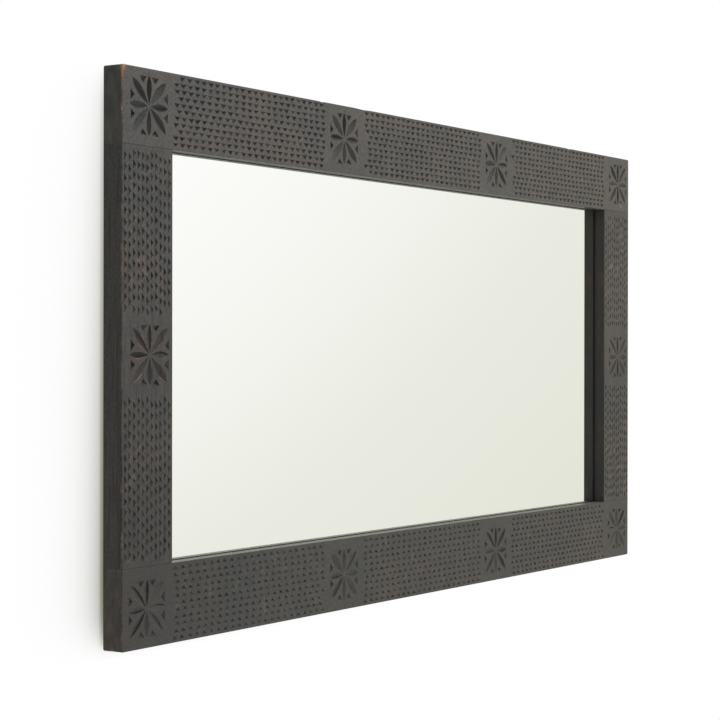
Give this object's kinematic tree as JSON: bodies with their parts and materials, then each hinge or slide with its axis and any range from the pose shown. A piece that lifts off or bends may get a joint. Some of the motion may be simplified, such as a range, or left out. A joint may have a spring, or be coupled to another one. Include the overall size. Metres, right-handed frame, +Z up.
{
  "type": "wall mirror",
  "caption": "Long rectangular wall mirror in a wide dark wood frame chip-carved with rows of small triangles and square rosettes, hung by swinging rings on its back.",
  "frame": {"origin": "centre of the mirror's height and width on the wall plane, where the bumpers touch the wall", "axes": "+X along the frame to the right as seen from the front, +Y into the wall, +Z up"},
  "size_m": [1.8, 0.046, 0.9],
  "materials": {
    "dark_stained_wood": "dark stain, satin, worn arrises",
    "black_glazing_strip": "matte",
    "silvered_glass": "polished",
    "hardboard": "plain, unpainted",
    "zinc_plated_steel": "zinc plated",
    "plain_hardwood": "plain",
    "rubber_bumper": "matte"
  },
  "bodies": {
    "frame": {"top_rail": "dark_stained_wood", "bottom_rail": "dark_stained_wood", "left_stile": "dark_stained_wood", "right_stile": "dark_stained_wood", "glazing_strip_top": "black_glazing_strip", "glazing_strip_bottom": "black_glazing_strip", "glazing_strip_left": "black_glazing_strip", "glazing_strip_right": "black_glazing_strip", "mirror_pane": "silvered_glass", "backing_board": "hardboard", "backing_screws": "zinc_plated_steel", "hanger_strap_left": "zinc_plated_steel", "hanger_screws_left": "zinc_plated_steel", "hanger_strap_right": "zinc_plated_steel", "hanger_screws_right": "zinc_plated_steel", "loose_tenon_top_left": "plain_hardwood", "wall_bumper_top_left": "rubber_bumper", "loose_tenon_top_right": "plain_hardwood", "wall_bumper_top_right": "rubber_bumper", "loose_tenon_bottom_left": "plain_hardwood", "wall_bumper_bottom_left": "rubber_bumper", "loose_tenon_bottom_right": "plain_hardwood", "wall_bumper_bottom_right": "rubber_bumper"},
    "ring_left": {"hanger_ring_left": "zinc_plated_steel"},
    "ring_right": {"hanger_ring_right": "zinc_plated_steel"}
  },
  "joints": [
    {"name": "ring_swing_left", "type": "hinge", "parent": "frame", "child": "ring_left", "pos_m": [-0.85, -0.0052, 0.25], "axis": [-1, 0, 0], "range_deg": [0, 175]},
    {"name": "ring_swing_right", "type": "hinge", "parent": "frame", "child": "ring_right", "pos_m": [0.85, -0.0052, 0.25], "axis": [-1, 0, 0], "range_deg": [0, 175]}
  ]
}
